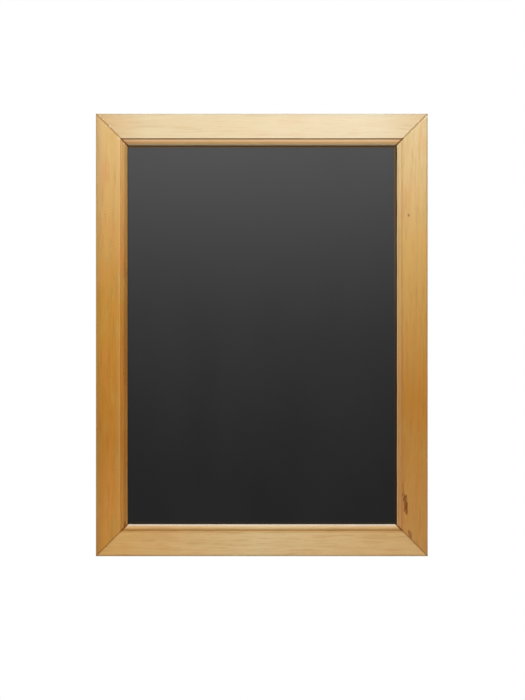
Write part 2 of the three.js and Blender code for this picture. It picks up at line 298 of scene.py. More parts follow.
def lacqueredPine(side):
    material, add, local = newMaterial(side["finish"])
    length = side["length"] / mm
    p = add("VectorMath", {0: local, 1: side["plank"]}, operation="ADD").outputs[0]  # a plank for each rail
    x, y, z = add("SeparateXYZ", {0: local}).outputs
    seen = {}
    for name, (size, detail, roughness) in pine["patterns"].items():
        cells = add("VectorMath", {0: p, 1: [1 / span for span in size]}, operation="MULTIPLY")
        links = {"Vector": cells, "Scale": 1.0, "Detail": detail, "Roughness": roughness}
        seen[name] = add("TexNoise", links)

    def fromMiddle(spot):
        # squared distance from the middle of an oval spot, with 1 at its edge
        dx = add("Math", {0: x, 1: spot.x}, operation="SUBTRACT")
        dx = add("Math", {0: dx, 1: spot.halfLength}, operation="DIVIDE")
        dz = add("Math", {0: dx, 1: spot.lean, 2: z}, operation="MULTIPLY_ADD")
        dz = add("Math", {0: dz, 1: spot.z}, operation="SUBTRACT")
        dz = add("Math", {0: dz, 1: spot.halfWidth}, operation="DIVIDE")
        dx2 = add("Math", {0: dx, 1: dx}, operation="MULTIPLY")
        return add("Math", {0: dz, 1: dz, 2: dx2}, operation="MULTIPLY_ADD")

    # the grain strays slowly along the rail
    stray = add("Math", {0: seen["stray"], 1: 0.5}, operation="SUBTRACT")
    stray = add("Math", {0: stray, 1: 2 * pine["wander"], 2: z}, operation="MULTIPLY_ADD")

    # and parts round each knot as water does round a stone
    knots = None
    for knot in side["knots"]:
        reach = fromMiddle(knot)
        beyond = add("Math", {0: reach, 1: 1.0}, operation="MAXIMUM")
        part = add("Math", {0: -pine["knotParting"], 1: beyond}, operation="DIVIDE")
        off = add("Math", {0: stray, 1: knot.z}, operation="SUBTRACT")
        stray = add("Math", {0: off, 1: part, 2: stray}, operation="MULTIPLY_ADD")
        edge = add("Math", {0: seen["ragged"], 1: pine["knotRagged"], 2: reach}, operation="MULTIPLY_ADD")
        start, full = pine["knotBark"]
        inside = add("MapRange", {0: edge, 1: start, 2: full, 3: 0.0, 4: knot.dark})
        start, full = pine["knotHeart"]
        heart = add("MapRange", {0: edge, 1: start, 2: full, 3: 1.0, 4: 0.7})  # paler than the bark round it
        inside = add("Math", {0: inside, 1: heart}, operation="MULTIPLY")
        knots = inside if knots is None else add("Math", {0: knots, 1: inside}, operation="MAXIMUM")

    # growth rings round a pith behind the rail, wider and narrower with the years
    deep = add("Math", {0: y, 1: -pine["pithDepth"]}, operation="ADD")
    deep = add("Math", {0: deep, 1: deep}, operation="MULTIPLY")
    aside = add("Math", {0: stray, 1: -side["pithAcross"]}, operation="ADD")
    radius = add("Math", {0: aside, 1: aside, 2: deep}, operation="MULTIPLY_ADD")
    radius = add("Math", {0: radius, 1: 0.5}, operation="POWER")
    radius = add("Math", {0: x, 1: side["taper"], 2: radius}, operation="MULTIPLY_ADD")
    years = add("TexNoise", {"W": radius, "Scale": 0.09, "Detail": 1.0}, noise_dimensions="1D")
    years = add("Math", {0: years, 1: 2.0}, operation="MULTIPLY")
    ring = add("Math", {0: radius, 1: 1 / pine["ringSpacing"], 2: years}, operation="MULTIPLY_ADD")
    ring = add("Math", {0: ring}, operation="FRACT")
    lateWood = add("ValToRGB", {0: ring}, stops=pine["year"])

    # the plank's tone from one end to the other, drifting to orange by its outer edge
    along = add("MapRange", {0: x, 1: -length / 2, 2: length / 2})
    wood = add("ValToRGB", {0: along}, stops=[(at, linear(tone)) for at, tone in side["tones"]])
    layers = []  # how much of each shows, its tone and how it lies on the wood
    nearEdge = add("MapRange", {0: z, 1: 22.0, 2: 4.0, 3: -0.02, 4: 0.07})
    drift = add("Math", {0: seen["drift"], 1: nearEdge}, operation="ADD")
    for most, tone in ((0.7, pine["orange"]), (0.3, pine["olive"])):
        share = add("MapRange", {0: drift, 1: 0.5, 2: most, 3: 0.0, 4: side["drift"]})
        layers.append((share, tone, "MIX"))

    # late wood, fibres, streaks and resin flecks
    late = add("Math", {0: lateWood, 1: side["grain"]}, operation="MULTIPLY")
    grey = add("MapRange", {0: seen["fibre"], 1: 0.25, 2: 0.75, 3: 0.94, 4: 1.05})
    streak = add("MapRange", {0: seen["streak"], 1: 0.46, 2: 0.3, 3: 0.0, 4: 2 * side["grain"]})
    fleck = add("MapRange", {0: seen["fleck"], 1: 0.66, 2: 0.74})
    share = add("Math", {0: fleck, 1: pine["fleckShare"]}, operation="MULTIPLY")
    layers += [(late, pine["lateTint"], "MULTIPLY"), (1.0, grey, "MULTIPLY")]
    layers += [(streak, pine["lateTint"], "MULTIPLY"), (share, pine["fleckTone"], "MIX")]
    if knots is not None:
        layers.append((knots, pine["knotTone"], "MIX"))

    # curly figure, where the fibres ripple beside a branch, aslant and uneven
    phase = add("Math", {0: z, 1: -0.9, 2: x}, operation="MULTIPLY_ADD")
    phase = add("Math", {0: stray, 1: 1.2, 2: phase}, operation="MULTIPLY_ADD")
    phase = add("Math", {0: seen["ragged"], 1: 5.0, 2: phase}, operation="MULTIPLY_ADD")
    phase = add("Math", {0: phase, 1: 2 * math.pi / pine["curlPitch"]}, operation="MULTIPLY")
    ripple = add("Math", {0: phase}, operation="SINE")
    for curl in side["curls"]:
        fall = add("MapRange", {0: fromMiddle(curl), 1: 1.0, 2: 0.0, 3: 0.0, 4: pine["curl"]})
        swing = add("Math", {0: ripple, 1: fall, 2: 1.0}, operation="MULTIPLY_ADD")
        layers.append((1.0, swing, "MULTIPLY"))

    # across the moulding, along wavering lines, the stain has gathered in some places and worn pale in
    # others, and on the same lines sit painted shade on the outer arris, quirk, bead and sight edge and
    # painted highlights on the quirk's edge and the lip
    run = add("SeparateXYZ", {0: p}).outputs[0]
    links = {"W": run, "Scale": 1 / pine["waverLength"], "Detail": 2.0}
    waver = add("TexNoise", links, noise_dimensions="1D")
    waver = add("Math", {0: waver, 1: 0.5}, operation="SUBTRACT")
    line = add("Math", {0: waver, 1: side["waver"], 2: z}, operation="MULTIPLY_ADD")
    line = add("Math", {0: line, 1: moulding["width"]}, operation="DIVIDE")
    onFront = add("Math", {0: z, 1: y}, operation="SUBTRACT")
    onFront = add("MapRange", {0: onFront, 1: pine["frontFrom"][0], 2: pine["frontFrom"][1]})
    stops = [(at / moulding["width"], linear(tint)) for at, tint in side["stainAndShade"]]
    stainAndShade = add("ValToRGB", {0: line}, stops=stops)
    stops = [(at / moulding["width"], share) for at, share in side["wearAndHighlight"]]
    wearAndHighlight = add("ValToRGB", {0: line}, stops=stops)
    layers += [(onFront, stainAndShade, "MULTIPLY"), (wearAndHighlight, side["highlightAndWornTone"], "MIX")]

    # glue stain in the mitres, with painted highlights beside them at the top corners, where the eased mitre
    # edges catch the light
    toEnd = add("Math", {0: x}, operation="ABSOLUTE")
    toEnd = add("Math", {0: length / 2, 1: toEnd}, operation="SUBTRACT")
    toMitre = add("Math", {0: toEnd, 1: z}, operation="SUBTRACT")
    mitreHighlights = add("MapRange", {0: seen["mitreHighlights"], 1: 0.58, 2: 0.63, 3: 0.0, 4: side["mitreHighlights"]})
    start, full = pine["mitreHighlightReach"]
    near = add("MapRange", {0: toMitre, 1: start, 2: full, 3: 0.0, 4: onFront})
    highlightedEnd = add("MapRange", {0: x, 1: side["mitreHighlightFrom"][0], 2: side["mitreHighlightFrom"][1]})
    near = add("Math", {0: near, 1: highlightedEnd}, operation="MULTIPLY")
    mitreHighlights = add("Math", {0: mitreHighlights, 1: near}, operation="MULTIPLY")
    start, full = pine["glueReach"]
    share = add("MapRange", {0: toMitre, 1: start, 2: full, 3: 0.0, 4: side["glueStain"]})
    onBead = add("MapRange", {0: z, 1: quirkMiddle - 2, 2: quirkMiddle + 2, 3: 0.55, 4: 1.0})
    glued = add("Math", {0: share, 1: onBead}, operation="MULTIPLY")
    layers += [(mitreHighlights, pine["mitreHighlightTone"], "MIX"), (glued, pine["glue"], "MULTIPLY")]

    # the back is planed wood without lacquer
    back = add("MapRange", {0: y, 1: pine["bareBack"][0], 2: pine["bareBack"][1]})
    share = add("Math", {0: back, 1: pine["bareShare"]}, operation="MULTIPLY")
    layers.append((share, pine["bare"], "MIX"))
    lacquer = pine["lacquerRoughness"]
    dull = add("MapRange", {0: seen["fibre"], 1: 0.2, 2: 0.8, 3: lacquer - 0.05, 4: lacquer + 0.06})
    dull = add("Math", {0: back, 1: pine["bareRoughness"], 2: dull}, operation="MULTIPLY_ADD")
    dull = add("Math", {0: glued, 1: pine["glueRoughness"], 2: dull}, operation="MULTIPLY_ADD")

    for share, tone, blend in layers:
        tone = linear(tone) if isinstance(tone, str) else tone
        wood = add("Mix", {0: share, 6: wood, 7: tone}, data_type="RGBA", blend_type=blend).outputs[2]
    relief = add("Math", {0: seen["fibre"], 1: 0.5, 2: lateWood}, operation="MULTIPLY_ADD")
    relief = add("Math", {0: fleck, 1: -0.8, 2: relief}, operation="MULTIPLY_ADD")
    bump = add("Bump", {"Height": relief, "Strength": 0.35, "Distance": 0.04 * mm})
    shader = add("BsdfPrincipled", {"Base Color": wood, "Roughness": dull, "IOR": 1.5, "Normal": bump})
    add("OutputMaterial", {"Surface": shader})
    return material


# Black chalk sheet, a matt printed laminate: deep grey that takes a broad soft sheen
chalkSheet = {
    "front": 0.01, "back": 1.1,  # mm behind the lip of the rebate
    "tooth": 1.0,  # mm, the fine tooth that holds chalk, drawn coarse enough to show
    "wipe": (90, 90, 240),  # mm, size of the smears that wiping leaves, long up and down
    "roughness": 0.46, "black": "#171719", "wiped": "#1a1a1b",
    "lipShadowReach": 4.4, "lipShadowFull": 1.6, "lipShadowBottom": 0.4,  # mm of brown painted shadow on the sheet under the frame's lip
    "lipShadowShare": 0.9, "lipShadowHigh": "#6e4a0c", "lipShadowLow": "#36280a",  # its tone at the top and lower down
}


def chalkLaminate():
    material, add, p = newMaterial("matt black chalk laminate")
    axes = add("SeparateXYZ", {0: p}).outputs
    wiped = add("VectorMath", {0: p, 1: [1 / span for span in chalkSheet["wipe"]]}, operation="MULTIPLY")
    smear = add("TexNoise", {"Vector": wiped, "Scale": 1.0, "Detail": 4.0})
    tooth = add("TexNoise", {"Vector": p, "Scale": 1 / chalkSheet["tooth"], "Detail": 2.0})
    black, grey = linear(chalkSheet["black"]), linear(chalkSheet["wiped"])
    shade = add("ValToRGB", {0: smear}, stops=[(0.3, black), (0.75, grey)])

    # distance to the top, bottom and right edges of the opening, where shadow is painted on the sheet under
    # the lip
    sight = moulding["width"]
    top, right = boardTop / mm - sight, boardRight / mm - sight
    bottom = boardBottom / mm + sight + chalkSheet["lipShadowBottom"]
    nearest = None
    for axis, edge, inward in ((2, top, -1), (2, bottom, 1), (0, right, -1)):
        gap = add("Math", {0: axes[axis], 1: inward, 2: -inward * edge}, operation="MULTIPLY_ADD")
        nearest = gap if nearest is None else add("Math", {0: nearest, 1: gap}, operation="MINIMUM")
    start, full = chalkSheet["lipShadowReach"], chalkSheet["lipShadowFull"]
    # painted shadow: a brown band on the sheet along the lip at the top, bottom and right edges
    lipShadow = add("MapRange", {0: nearest, 1: start, 2: full, 3: 0.0, 4: chalkSheet["lipShadowShare"]})
    lower = add("MapRange", {0: axes[2], 1: top, 2: middle.z / mm})
    high, low = linear(chalkSheet["lipShadowHigh"]), linear(chalkSheet["lipShadowLow"])
    # the painted shadow's tone, paler at the top
    brown = add("ValToRGB", {0: lower}, stops=[(0, high), (1, low)])
    colour = add("Mix", {0: lipShadow, 6: shade, 7: brown}, data_type="RGBA").outputs[2]
    rough = chalkSheet["roughness"]
    dull = add("MapRange", {0: smear, 1: 0.3, 2: 0.7, 3: rough - 0.02, 4: rough + 0.02})
    lipShadowDullness = add("MapRange", {0: lower, 3: 0.35, 4: -0.05})  # the painted shadow is dull at the top and shines lower down
    dull = add("Math", {0: lipShadow, 1: lipShadowDullness, 2: dull}, operation="MULTIPLY_ADD")
    bump = add("Bump", {"Height": tooth, "Strength": 0.25, "Distance": 0.02 * mm})
    shader = add("BsdfPrincipled", {"Base Color": colour, "Roughness": dull, "IOR": 1.5, "Normal": bump})
    add("OutputMaterial", {"Surface": shader})
    return material


# Hardboard, pressed wood fibre: brown and dull, with the print of the press's wire screen on its back
hardboard = {
    "back": 4.68,  # mm behind the lip of the rebate, just clear of the points
    "screenPitch": 2.4,  # mm; the real screen is finer than the render can show
    "flake": 1.6, "cloud": 70,  # mm, length of a fibre bundle and of a cloud of tone
    "dark": "#5a3d26", "brown": "#7a5636", "pale": "#93704a", "hollowShade": "#2e1d10",
}


def pressedHardboard():
    material, add, p = newMaterial("screen-backed hardboard")
    fibres = add("TexNoise", {"Vector": p, "Scale": 1 / hardboard["flake"], "Detail": 5.0})
    cloud = add("TexNoise", {"Vector": p, "Scale": 1 / hardboard["cloud"], "Detail": 3.0})
    axes = add("SeparateXYZ", {0: p}).outputs
    waves = []
    for axis in (0, 2):
        turn = add("Math", {0: axes[axis], 1: 2 * math.pi / hardboard["screenPitch"]}, operation="MULTIPLY")
        waves.append(add("Math", {0: turn}, operation="SINE"))
    screen = add("Math", {0: waves[0], 1: waves[1]}, operation="MAXIMUM")
    tone = add("Math", {0: fibres, 1: 0.8}, operation="MULTIPLY")
    tone = add("Math", {0: cloud, 1: 0.2, 2: tone}, operation="MULTIPLY_ADD")
    stops = [(at, linear(hardboard[name])) for at, name in ((0.3, "dark"), (0.5, "brown"), (0.72, "pale"))]
    colour = add("ValToRGB", {0: tone}, stops=stops)
    # painted shade: the hollows of the screen print are darkened towards a deep brown
    share = add("MapRange", {0: screen, 1: -0.4, 2: 1.0, 3: 0.14, 4: 0.0})
    colour = add("Mix", {0: share, 6: colour, 7: linear(hardboard["hollowShade"])}, data_type="RGBA").outputs[2]
    height = add("Math", {0: fibres, 1: 0.6, 2: screen}, operation="MULTIPLY_ADD")
    bump = add("Bump", {"Height": height, "Strength": 0.6, "Distance": 0.08 * mm})
    shader = add("BsdfPrincipled", {"Base Color": colour, "Roughness": 0.8, "IOR": 1.45, "Normal": bump})
    add("OutputMaterial", {"Surface": shader})
    return material


# Steel in two finishes: zinc plate is bright and faintly clouded, blued steel is dark with a dry edge
steels = {
    "zinc": {"finish": "zinc-plated steel", "light": "#d3d6d9", "dark": "#b2b6ba", "roughness": 0.3},
    "blued": {"finish": "blued spring steel", "light": "#77797d", "dark": "#4d4e52", "roughness": 0.42},
    "scratch": (0.25, 0.25, 5.0),  # mm, the drawing marks of sheet and wire
}


def platedSteel(steel):
    material, add, p = newMaterial(steel["finish"])
    spangle = add("TexNoise", {"Vector": p, "Scale": 0.45, "Detail": 4.0})
    drawn = add("VectorMath", {0: p, 1: [1 / span for span in steels["scratch"]]}, operation="MULTIPLY")
    scratch = add("TexNoise", {"Vector": drawn, "Scale": 1.0, "Detail": 2.0})
    dark, light = linear(steel["dark"]), linear(steel["light"])
    colour = add("ValToRGB", {0: spangle}, stops=[(0.35, dark), (0.65, light)])
    rough = steel["roughness"]
    dull = add("MapRange", {0: spangle, 1: 0.3, 2: 0.7, 3: rough - 0.07, 4: rough + 0.08})
    bump = add("Bump", {"Height": scratch, "Strength": 0.2, "Distance": 0.01 * mm})
    shader = add("BsdfPrincipled", {"Base Color": colour, "Metallic": 1.0, "Roughness": dull, "Normal": bump})
    add("OutputMaterial", {"Surface": shader})
    return material


# Moulded rubber: near black, with the fine dull grain of its mould
rubber = {
    "grain": 0.35, "bloom": 5,  # mm, of the mould's grain and of dusty patches
    "roughness": 0.72, "black": "#191919", "dusty": "#272728",
}


def mouldedRubber():
    material, add, p = newMaterial("moulded rubber")
    grain = add("TexNoise", {"Vector": p, "Scale": 1 / rubber["grain"], "Detail": 2.0})
    bloom = add("TexNoise", {"Vector": p, "Scale": 1 / rubber["bloom"], "Detail": 3.0})
    black, dusty = linear(rubber["black"]), linear(rubber["dusty"])
    colour = add("ValToRGB", {0: bloom}, stops=[(0.35, black), (0.7, dusty)])
    rough = rubber["roughness"]
    dull = add("MapRange", {0: bloom, 1: 0.3, 2: 0.7, 3: rough - 0.06, 4: rough + 0.08})
    bump = add("Bump", {"Height": grain, "Strength": 0.3, "Distance": 0.03 * mm})
    shader = add("BsdfPrincipled", {"Base Color": colour, "Roughness": dull, "IOR": 1.52, "Normal": bump})
    add("OutputMaterial", {"Surface": shader})
    return material


blackLaminate = chalkLaminate()
hardboardBack = pressedHardboard()
zincSteel = platedSteel(steels["zinc"])
bluedSteel = platedSteel(steels["blued"])
bumperRubber = mouldedRubber()
print("finishes made")


# Rails, moulded in millimetres: across from the outer edge and up from the back
def mouldingSection():
    m = moulding
    quirkInner = m["width"] - m["beadWidth"]
    quirkOuter = quirkInner - m["quirkWidth"]
    quirkFloor = m["depth"] - m["quirkDepth"]
    crest = quirkInner + m["beadShoulder"]
    beadTop = m["depth"] - m["beadSet"]
    beadFoot = beadTop - m["beadDrop"]
    back = m["width"] - m["rebateWidth"]
    small = m["smallArris"]
    fall = arc((crest, beadFoot), (m["width"] - crest, m["beadDrop"]), 0, 90, 18)
    flank = arc((crest, quirkFloor), (m["beadShoulder"], beadTop - quirkFloor), 90, 180, 9)
    corners = [(0, 0, m["backArris"]), (back, 0, small), (back, m["rebateDepth"], small)]
    corners += [(m["width"], m["rebateDepth"], small)]
    corners += [(u, v, 0) for u, v in fall + flank[1:]]
    corners += [(quirkOuter, quirkFloor, 0), (quirkOuter, m["depth"], m["quirkArris"])]
    corners += [(0, m["depth"], m["arris"])]
    outline = roundedOutline(corners, 6)
    # flats get points near their ends, so that only the arrises shade round
    section = []
    for i, here in enumerate(outline):
        after = outline[(i + 1) % len(outline)]
        span = (after - here).length
        section.append(here)
        if span > m["flatFrom"]:
            parts = round(span / m["flatStep"])
            end = m["flatEnd"] / span
            shares = [end] + [k / parts for k in range(1, parts)] + [1 - end]
            section += [here.lerp(after, share) for share in shares]
    return section


def railMesh(name, length, seed):
    # x runs along the rail, z inwards from its outer edge and -y to the front
    section = mouldingSection()
    inward = []
    for i in range(len(section)):
        along = section[(i + 1) % len(section)] - section[i - 1]
        inward.append(Vector((-along.y, along.x)).normalized())
    reach = length / mm / 2 - moulding["glueLine"] / math.sqrt(2)
    ease = moulding["mitreArris"]
    ends = []  # distance from the mitre, and how far its sanded edge has sunk there
    for share in (0, 0.08, 0.25, 0.5, 0.75, 1):
        ends.append((ease * share, ease * (1 - math.sqrt(1 - (1 - share) ** 2))))
    ends.append((moulding["endStep"], 0))
    count = round((length / mm - 2 * moulding["width"]) / moulding["step"])
    stations = [(-1, fromEnd, sunk) for fromEnd, sunk in ends]
    stations += [(2 * k / count - 1, moulding["endStep"], 0) for k in range(1, count)]
    stations += [(1, fromEnd, sunk) for fromEnd, sunk in reversed(ends)]
    rings = []
    for share, fromEnd, sunk in stations:
        ring = []
        for (u, v), into in zip(section, inward):
            u, v = u + into.x * sunk, v + into.y * sunk
            x = share * (reach - u - fromEnd)
            swell = noise.noise(Vector((x / moulding["rippleLength"], u / moulding["rippleWidth"], seed)))
            if v > moulding["rebateDepth"] + 1:  # the back and the rebate are flat
                v -= moulding["ripple"] * (1 + swell) / 2
            ring.append((x * mm, -v * mm, u * mm))
        rings.append(ring)
    return loftMesh(name, rings)


# Each side of the frame, with the place of its outer edge and its turn about the line of sight. Along a stile
# x runs down on the left and up on the right. Stain with painted shade, and wear with painted highlights, are
# read across the rail, in mm from its outer edge, and knots and curls are ovals on it.
def sidePlace(x, z, turn=0.0):
    return Matrix.Translation((x, boardBack, z)) @ Matrix.Rotation(turn, 4, "Y")


oval = namedtuple("oval", "x z halfLength halfWidth dark lean", defaults=(0.0, 0.0))
sides = {
    "top_rail": {
        "place": sidePlace(middle.x, boardTop, math.pi), "length": boardWidth, "slot": "pale_pine",
        "finish": "lacquered pine with painted sheen, top rail",
        "plank": (310, 40, 7), "pithAcross": 20, "taper": 0.008, "drift": 0.1, "grain": 0.09, "waver": 0.3,
        # painted sheen: these tones are paler than the stiles', partly the wood and partly the sheen that
        # light from above draws across level grain
        "tones": [(0.0, "#d4b783"), (0.15, "#e0cda8"), (0.85, "#d4be92"), (1.0, "#c59d61")],
        # stain with painted shade: the outer arris tinted grey, the quirk and bead darker where they turn
        # from the light
        "stainAndShade": [
            (0, "#f0f6ff"), (3, "#edf6ff"), (6.5, "#ffffff"), (44.7, "#ffffff"), (45.4, "#d0b488"),
            (47, "#c1ab86"), (47.8, "#d8c0a9"), (50, "#ebd0b4"), (52, "#e1c3a2"), (53.8, "#efd3b0"),
            (56, "#ffeecc"),
        ],
        # wear, with painted highlights on the quirk's edge and by the sight edge
        "wearAndHighlight": [(0, 0.25), (1.8, 0.0), (43, 0.0), (44.2, 0.2), (44.9, 0.0), (54, 0.0), (56, 0.4)],
        "highlightAndWornTone": "#f3e3c8",
        "mitreHighlights": 0.65, "mitreHighlightFrom": (-600, -500), "glueStain": 1.0,
        "knots": [], "curls": [],
    },
    "bottom_rail": {
        "place": sidePlace(middle.x, boardBottom), "length": boardWidth, "slot": "pale_pine",
        "finish": "lacquered pine with painted sheen, bottom rail",
        "plank": (-150, 15, 60), "pithAcross": 36, "taper": -0.008, "drift": 0.14, "grain": 0.15,
        "waver": 1.4,
        # painted sheen: paler than the stiles, partly the wood and partly sheen across level grain
        "tones": [(0.0, "#f2bb6c"), (0.5, "#fbd99f"), (1.0, "#f4c582")],
        # stain with painted shade in the quirk and on the bead
        "stainAndShade": [
            (0, "#f5f5f5"), (4, "#ffffff"), (42.5, "#ffffff"), (44.4, "#e1d8c4"), (46, "#ebe4d2"),
            (48.3, "#ddd3ba"), (50, "#f0e8da"), (54, "#f2eee8"),
        ],
        # painted highlight along the lip, which faces the light
        "wearAndHighlight": [(54.2, 0.0), (55.6, 0.5), (56.3, 1.0)],
        "highlightAndWornTone": "#fff3e0",
        "mitreHighlights": 0.0, "mitreHighlightFrom": (-600, -500), "glueStain": 0.9,
        "knots": [], "curls": [],
    },
    "left_stile": {
        "place": sidePlace(boardLeft, middle.z, math.pi / 2), "length": boardHeight, "slot": "honey_pine",
        "finish": "honey lacquered pine, left stile",
        "plank": (70, 90, -35), "pithAcross": 12, "taper": 0.006, "drift": 0.35, "grain": 0.14, "waver": 1.0,
        "tones": [(0.0, "#d0aa64"), (0.42, "#c68a1f"), (0.74, "#cb8626"), (0.9, "#e09c42")],
        # stain with painted shade: a grey outer arris and a bead that darkens towards the sight edge, away
        # from the light
        "stainAndShade": [
            (0, "#f0f4ff"), (4, "#e7f2ff"), (8, "#f3f7ff"), (18, "#ffffff"), (44.4, "#ffffff"),
            (45.4, "#f4e2c2"), (47, "#ffffff"), (51, "#dccdb6"), (53.5, "#cec3bc"), (56, "#f8f0ea"),
        ],
        # wear, with painted highlights on the quirk's edge
        "wearAndHighlight": [
            (0, 0.45), (2.4, 0.2), (4.2, 0.0), (34, 0.0), (43, 0.12), (44.2, 0.26), (44.9, 0.0), (47.5, 0.06),
            (51.5, 0.0), (54, 0.06), (55.5, 0.05), (56.5, 0.2),
        ],
        "highlightAndWornTone": "#e9bd78",
        "mitreHighlights": 0.4, "mitreHighlightFrom": (-300, -340), "glueStain": 0.9,
        "knots": [
            oval(-103, 34, 3.2, 1.4, dark=0.5),
            oval(343, 53, 7, 2.2, dark=0.6),
            # the last two are stains on the bead
            oval(10, 54.5, 95, 5, dark=0.3),
            oval(-112, 53, 16, 4, dark=0.3),
        ],
        "curls": [
            oval(-217, 26, 15, 15),
            oval(-158, 34, 10, 11),
            oval(-103, 34, 11, 12),
            oval(248, 34, 11, 11),
        ],
    },
    "right_stile": {
        "place": sidePlace(boardRight, middle.z, -math.pi / 2), "length": boardHeight, "slot": "honey_pine",
        "finish": "honey lacquered pine, right stile",
        "plank": (520, 25, 130), "pithAcross": 40, "taper": -0.008, "drift": 0.25, "grain": 0.15,
        "waver": 1.0,
        "tones": [(0.0, "#dea157"), (0.35, "#c6862b"), (0.7, "#d2a455"), (1.0, "#d9bf88")],
        # stain with painted shade, dark at the sight edge
        "stainAndShade": [
            (0, "#ffffff"), (44.6, "#ffffff"), (45.6, "#f2f2e4"), (46.6, "#ffffff"), (48.5, "#ffffff"),
            (50.5, "#f4eff0"), (53, "#eaf0ff"), (55.2, "#ffffff"), (55.8, "#6e5a44"),
        ],
        # painted highlight on the lip
        "wearAndHighlight": [
            (0, 0.45), (2.8, 0.0), (43, 0.0), (49, 0.1), (52.5, 0.08), (53.4, 0.0), (54.4, 0.4), (55.4, 0.4),
            (55.8, 0.0),
        ],
        "highlightAndWornTone": "#efdcb8",
        "mitreHighlights": 0.75, "mitreHighlightFrom": (300, 340), "glueStain": 1.0,
        "knots": [
            oval(-304, 40.6, 20, 4.2, dark=0.94, lean=-1.6),
            oval(-282, 44.3, 14, 1.3, dark=0.5, lean=-1.0),
            oval(216, 35, 2.6, 1.8, dark=0.8),
            oval(-361, 32.5, 10, 3.4, dark=0.6, lean=-2),
        ],
        "curls": [],
    },
}

# V-nails and flat points, which the rails are cut for
cornerNail = {"steel": 0.6, "height": 10, "leg": 4.5, "lip": 1, "sink": 0.4, "edge": 14, "room": 0.06}
panelPoint = {"room": 0.05}
pilotHole = {"radius": 1.8, "depth": 10.6}
overcut = 1  # mm that a cutter stands out of the back


def cornerNailKerfs():
    # a slot in the shape of each V-nail, open at the back of the frame
    foot = cornerNail["leg"] / math.sqrt(2)
    lip = cornerNail["lip"] + cornerNail["room"]
    bends = ((-foot - lip, foot), (-foot, foot), (0, 0), (foot, foot), (foot + lip, foot))
    outline = stripOutline([Vector(at) for at in bends], cornerNail["steel"] + 2 * cornerNail["room"])
    depth = cornerNail["sink"] + cornerNail["height"] + cornerNail["room"]
    back = moulding["width"] - moulding["rebateWidth"]
    kerfs = []
    for up in (-1, 1):
        for right in (-1, 1):
            for inset in (cornerNail["edge"], back - cornerNail["edge"]):
                x = middle.x + right * (boardWidth / 2 - inset * mm)
                z = middle.z + up * (boardHeight / 2 - inset * mm)
                lie = sidePlace(x, z, math.atan2(-right, -up)) @ Matrix.Translation((0, overcut * mm, 0))
                kerfs.append(prismMesh("kerf", outline, depth + overcut, lie @ quarterTurn))
    return kerfs


def panelPointSlits():
    slits = []
    for name in cad:
        if name.startswith("panel_point"):
            low, high = (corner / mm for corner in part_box(name))
            room = panelPoint["room"]
            outline = rectangle(low.x - room, low.y - room, high.x + room, high.y + room)
            lie = Matrix.Translation((0, 0, (low.z - room) * mm))
            slits.append(prismMesh("slit", outline, high.z - low.z + 2 * room, lie))
    return slits


def pilotHoles():
    holes = []
    for name in cad:
        if "hanger_screw" in name:
            low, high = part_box(name)
            at = Matrix.Translation(((low.x + high.x) / 2, boardBack + overcut * mm, (low.z + high.z) / 2))
            around = circle((0, 0), pilotHole["radius"], 24)
            holes.append(prismMesh("pilot", around, pilotHole["depth"] + overcut, at @ quarterTurn))
    return holes


def reaches(mesh, low, high):
    spans = [[vertex.co[i] for vertex in mesh.vertices] for i in range(3)]
    return all(max(span) > low[i] and min(span) < high[i] for i, span in enumerate(spans))


cuts = cornerNailKerfs() + panelPointSlits() + pilotHoles()
for number, (name, side) in enumerate(sides.items()):
    low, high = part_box(name)
    cutters = []
    for cut in cuts:
        if reaches(cut, low, high):
            cutters.append(cut.copy())
            cutters[-1].transform(side["place"].inverted())
    wood = carved(railMesh(name, side["length"], number * 3.7), cutters)
    newPiece(name + "_wood", wood, lacqueredPine(side), "board", name, side["place"])
print("rails moulded, mitred and cut for their fasteners")


# Panel: the chalk sheet bears on the lip of the rebate and the hardboard is glued behind it
panel = {"corner": 1.5, "eased": 0.15, "glue": 0.02}  # mm


def panelSheet(name, material, front, back):
    low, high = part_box(name)
    lip = boardBack / mm - moulding["rebateDepth"]
    around = rectangle(low.x, low.z, high.x, high.z)
    corners = [(x / mm, z / mm, panel["corner"]) for x, z in around]
    lie = Matrix.Translation((0, (lip + back) * mm, 0)) @ quarterTurn
    mesh = prismMesh(name, roundedOutline(corners, 4), back - front, lie)
    sheet = newPiece(name + "_sheet", mesh, material, "board", name)
    easeEdges(sheet, panel["eased"])


panelSheet("chalk_face", blackLaminate, chalkSheet["front"], chalkSheet["back"])
panelSheet("core_board", hardboardBack, chalkSheet["back"] + panel["glue"], hardboard["back"])
for name, node in cad.items():
    if name.startswith(("corner_nail", "panel_point")):
        node.data.materials.clear()
        node.data.materials.append(bluedSteel)
        easeEdges(node, 0.08)  # sheared edges are nearly sharp
print("panel and fasteners in place")

# D-ring hangers: a wire D held by a folded strap and two screws
hanger = {
    "wire": 2.4, "ringWidth": 20, "ringHeight": 15, "corner": 3, "butt": 0.4, "cutEase": 0.15, "stop": 0.3,
    "pivotLift": 2.7,  # from the wood to the ring's axis
    "seat": 0.05, "steel": 0.9, "fold": 0.12, "neck": 2, "width": 12, "length": 43.8, "eased": 0.12,
    "drops": {"upper": 22.8, "lower": 37.8},  # from the ring's axis down to each screw
    "hole": 4.2, "headGap": 0.02,
    "clearTop": 6, "clearBack": 8, "clearDepth": 12,  # cutters reach past the strap on every side
}
screw = {
    "length": 12, "tip": 4, "outer": 3.5, "core": 2.3, "pitch": 1.4, "threadWidth": 0.3,  # of a pitch
    "head": 6.8, "headHeight": 1.9, "rim": 0.6, "headEase": 0.15,
    "recess": 3.7, "recessWidth": 0.9, "recessDepth": 1.35, "recessTurn": 0.35,
}


